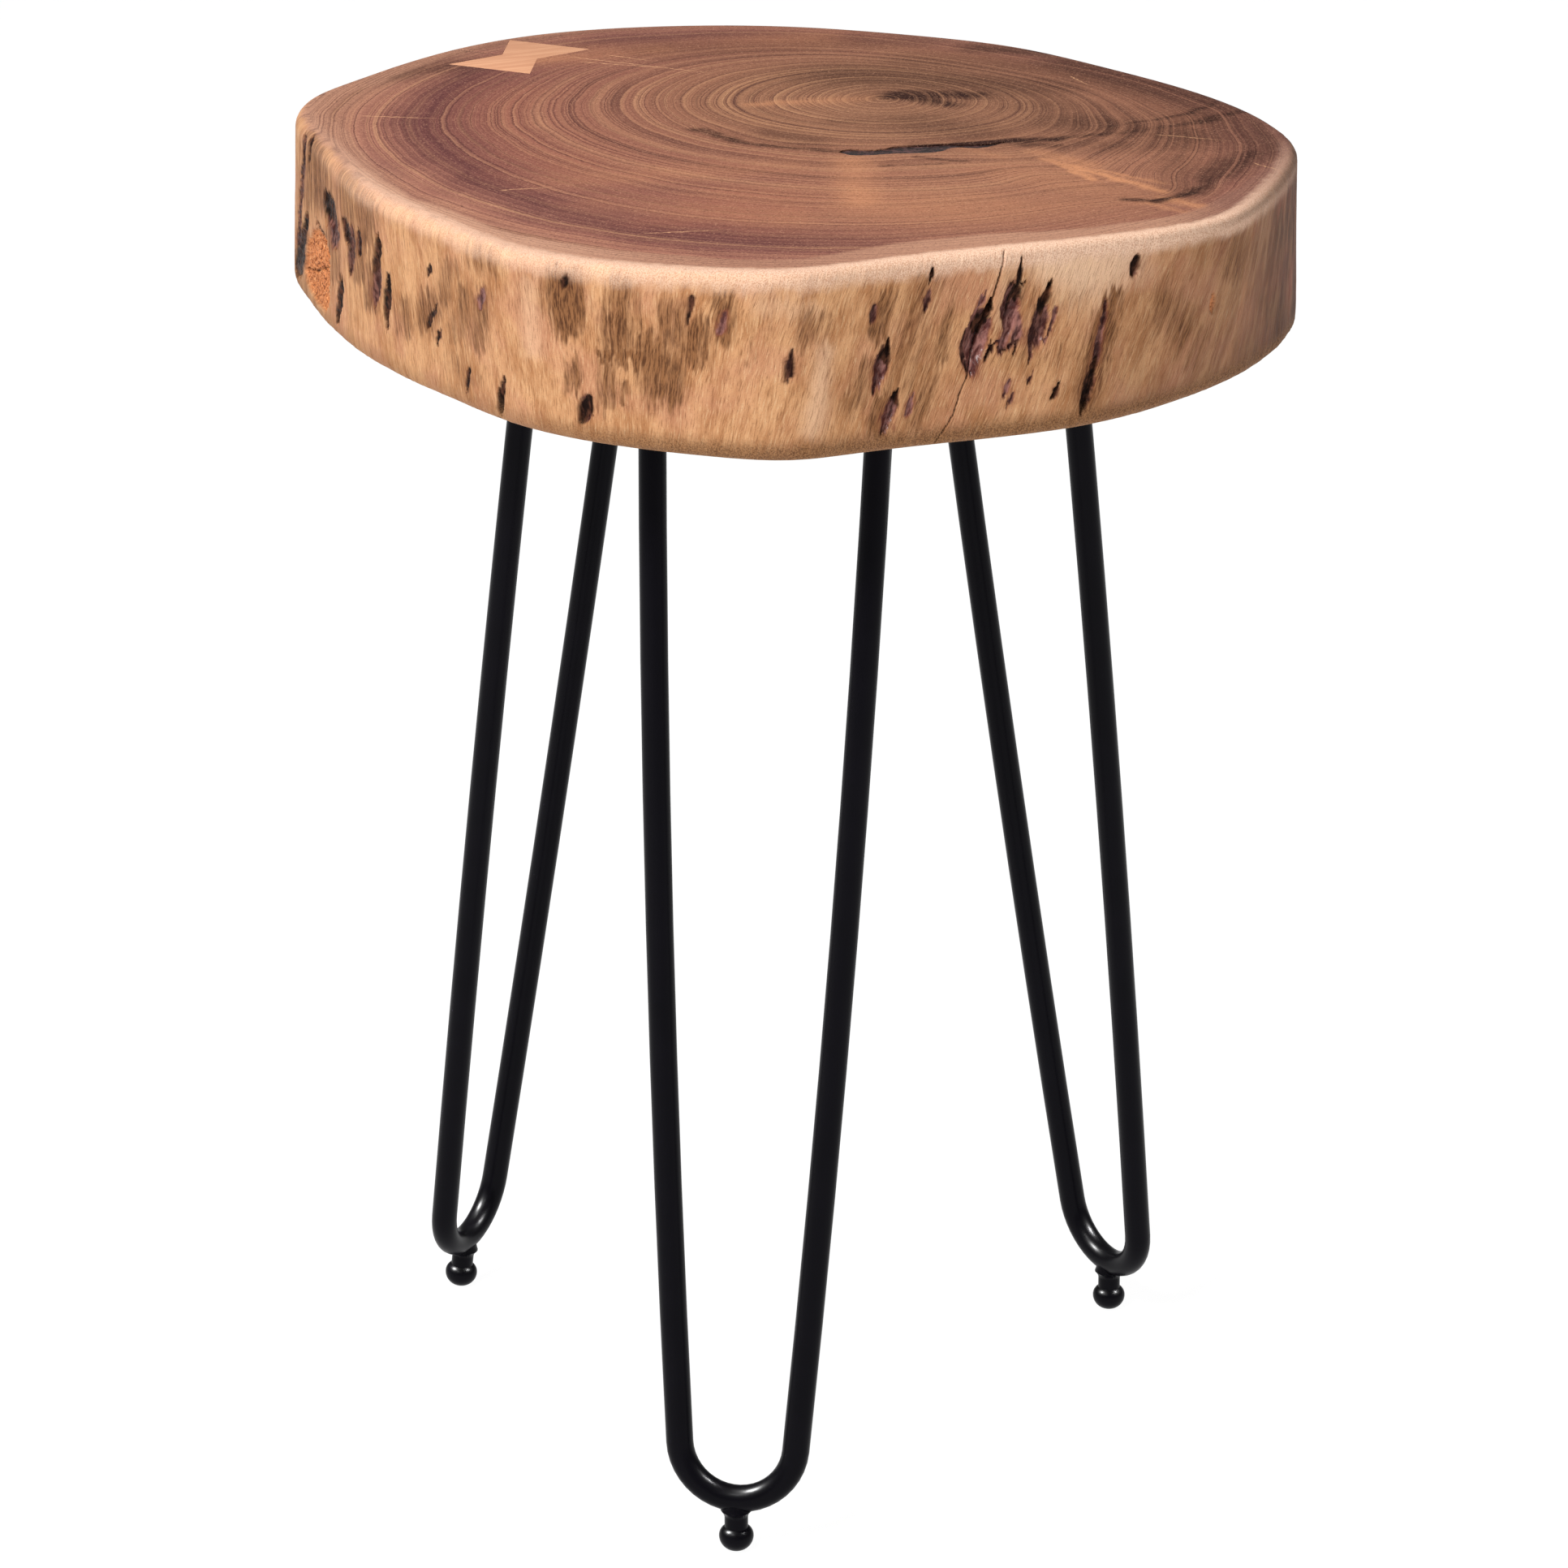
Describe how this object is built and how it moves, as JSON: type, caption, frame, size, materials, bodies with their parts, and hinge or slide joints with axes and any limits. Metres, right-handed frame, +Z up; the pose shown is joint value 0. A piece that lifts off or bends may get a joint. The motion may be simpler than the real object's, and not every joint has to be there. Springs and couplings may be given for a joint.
{
  "type": "live edge side table",
  "caption": "Live edge side table: a thick end-grain trunk slab with bark pits and a butterfly key, on splayed black hairpin legs with small ball feet.",
  "frame": {"origin": "on the floor, under the middle of the table's box", "axes": "+Z up; -Y towards the front leg, +X to the right of someone facing the front leg"},
  "size_m": [0.4452, 0.465, 0.59],
  "materials": {
    "slab_wood": "sanded and oiled, satin",
    "key_wood": "sanded and oiled, satin",
    "resin": "glossy",
    "black_steel": "semi-gloss black",
    "screw_steel": "bright zinc"
  },
  "bodies": {
    "root": {"slab_top": "slab_wood", "butterfly_key": "key_wood", "resin_fill": "resin", "hairpin_rod_front": "black_steel", "mounting_plate_front": "black_steel", "plate_weld_front": "black_steel", "ball_foot_front": "black_steel", "foot_weld_front": "black_steel", "plate_screws_front": "screw_steel", "hairpin_rod_left": "black_steel", "mounting_plate_left": "black_steel", "plate_weld_left": "black_steel", "ball_foot_left": "black_steel", "foot_weld_left": "black_steel", "plate_screws_left": "screw_steel", "hairpin_rod_right": "black_steel", "mounting_plate_right": "black_steel", "plate_weld_right": "black_steel", "ball_foot_right": "black_steel", "foot_weld_right": "black_steel", "plate_screws_right": "screw_steel"}
  },
  "joints": []
}
